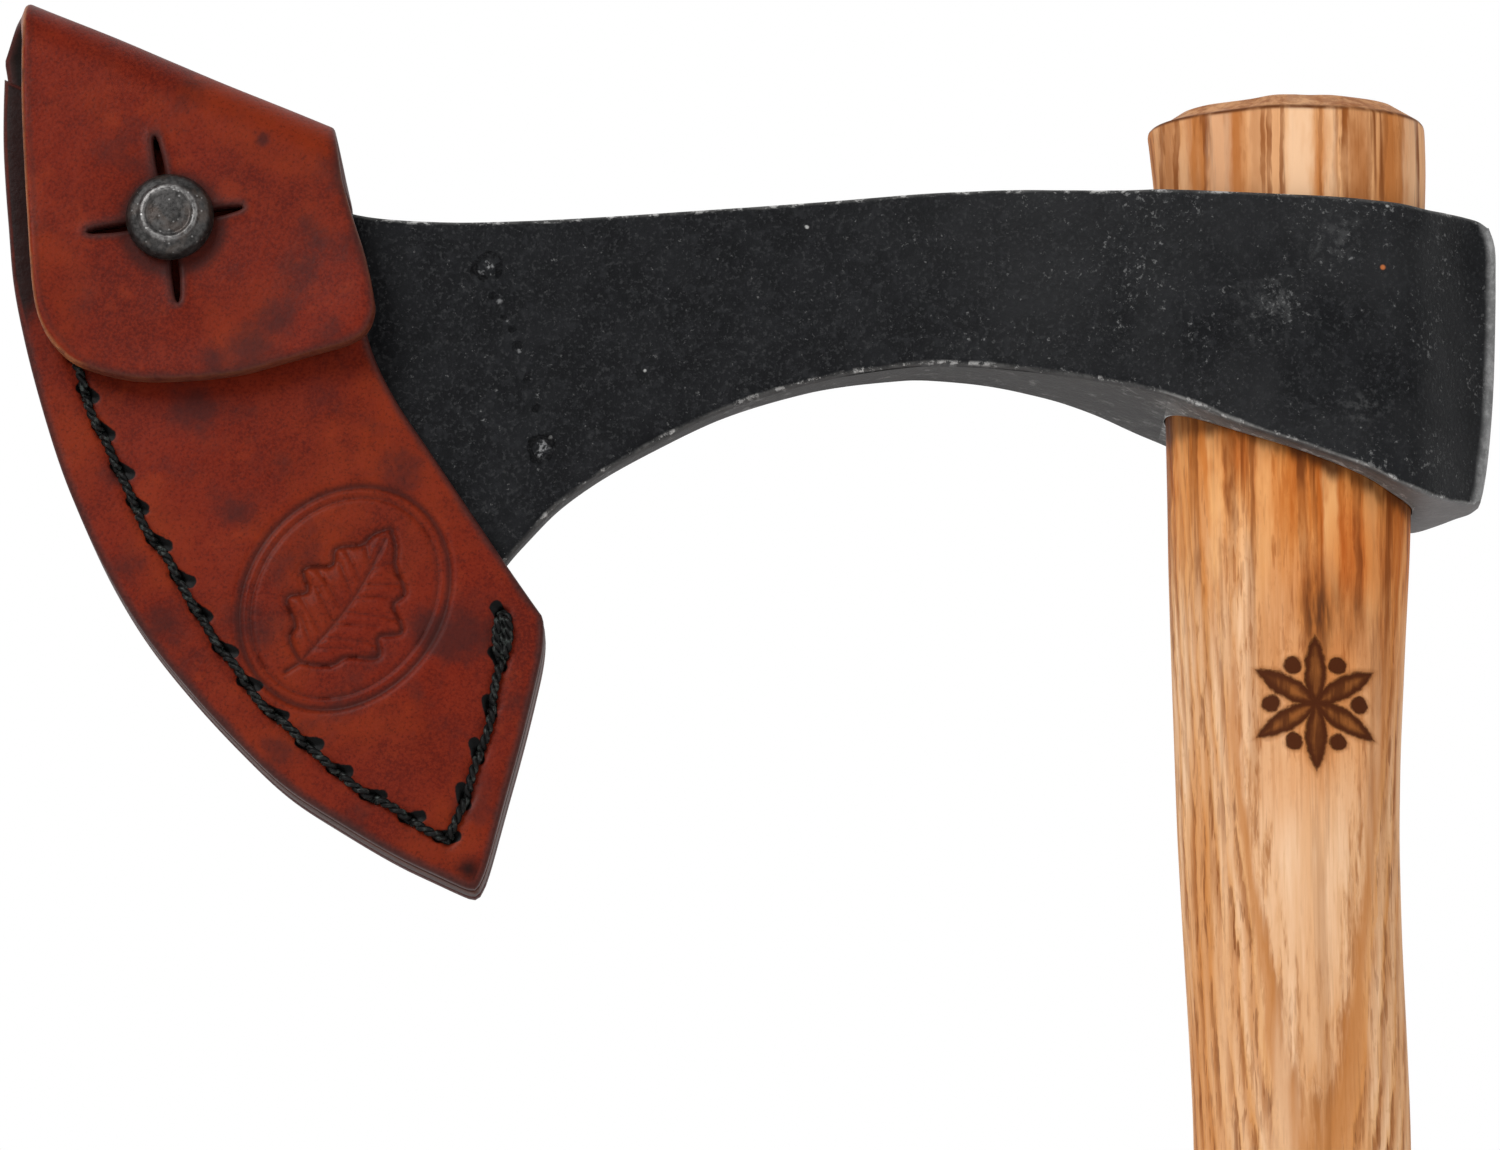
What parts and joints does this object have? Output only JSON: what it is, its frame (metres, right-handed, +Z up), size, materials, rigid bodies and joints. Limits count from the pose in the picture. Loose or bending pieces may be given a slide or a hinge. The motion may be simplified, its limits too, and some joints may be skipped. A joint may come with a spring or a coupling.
{
  "type": "hatchet",
  "caption": "Bearded hatchet with a long forged head on a straight oval wooden handle, its bit covered by a stitched leather edge sheath with a stud-fastened flap.",
  "frame": {"origin": "middle of the flat butt end of the handle", "axes": "+Z up along the handle to the head, bit and edge sheath towards -X, poll towards +X, the flap's stud towards -Y"},
  "size_m": [0.2192, 0.0332, 0.4541],
  "materials": {
    "forged_steel": "black forge finish on steel, matte, finely pitted, edges rubbed bright",
    "ash_wood": "oiled ash, open brown grain, flame-toned near the head",
    "red_brown_leather": "waxed vegetable-tanned leather, red-brown, darker edges and rub marks",
    "leather_core": "burnished leather edge",
    "waxed_thread": "thick black waxed thread, twisted",
    "stud_steel": "dark gunmetal steel with worn lighter crown"
  },
  "bodies": {
    "hatchet": {"axe_head": "forged_steel", "handle": "ash_wood"},
    "sheath": {"sheath_front_panel": "red_brown_leather", "sheath_back_panel": "red_brown_leather", "welt": "leather_core", "seam_thread_front": "waxed_thread", "seam_thread_back": "waxed_thread", "stud_button": "stud_steel", "stud_screw": "stud_steel", "flap_fold": "red_brown_leather"},
    "flap": {"sheath_flap": "red_brown_leather"}
  },
  "joints": [
    {"name": "sheath_slide", "type": "slide", "parent": "hatchet", "child": "sheath", "axis": [-0.208, 0, -0.9781], "range_m": [0, 0.13]},
    {"name": "flap_hinge", "type": "hinge", "parent": "sheath", "child": "flap", "pos_m": [-0.1607, -0.00235, 0.4461], "axis": [-0.9212, 0, 0.389], "range_deg": [0, 175], "deforming": ["flap_fold"]}
  ]
}
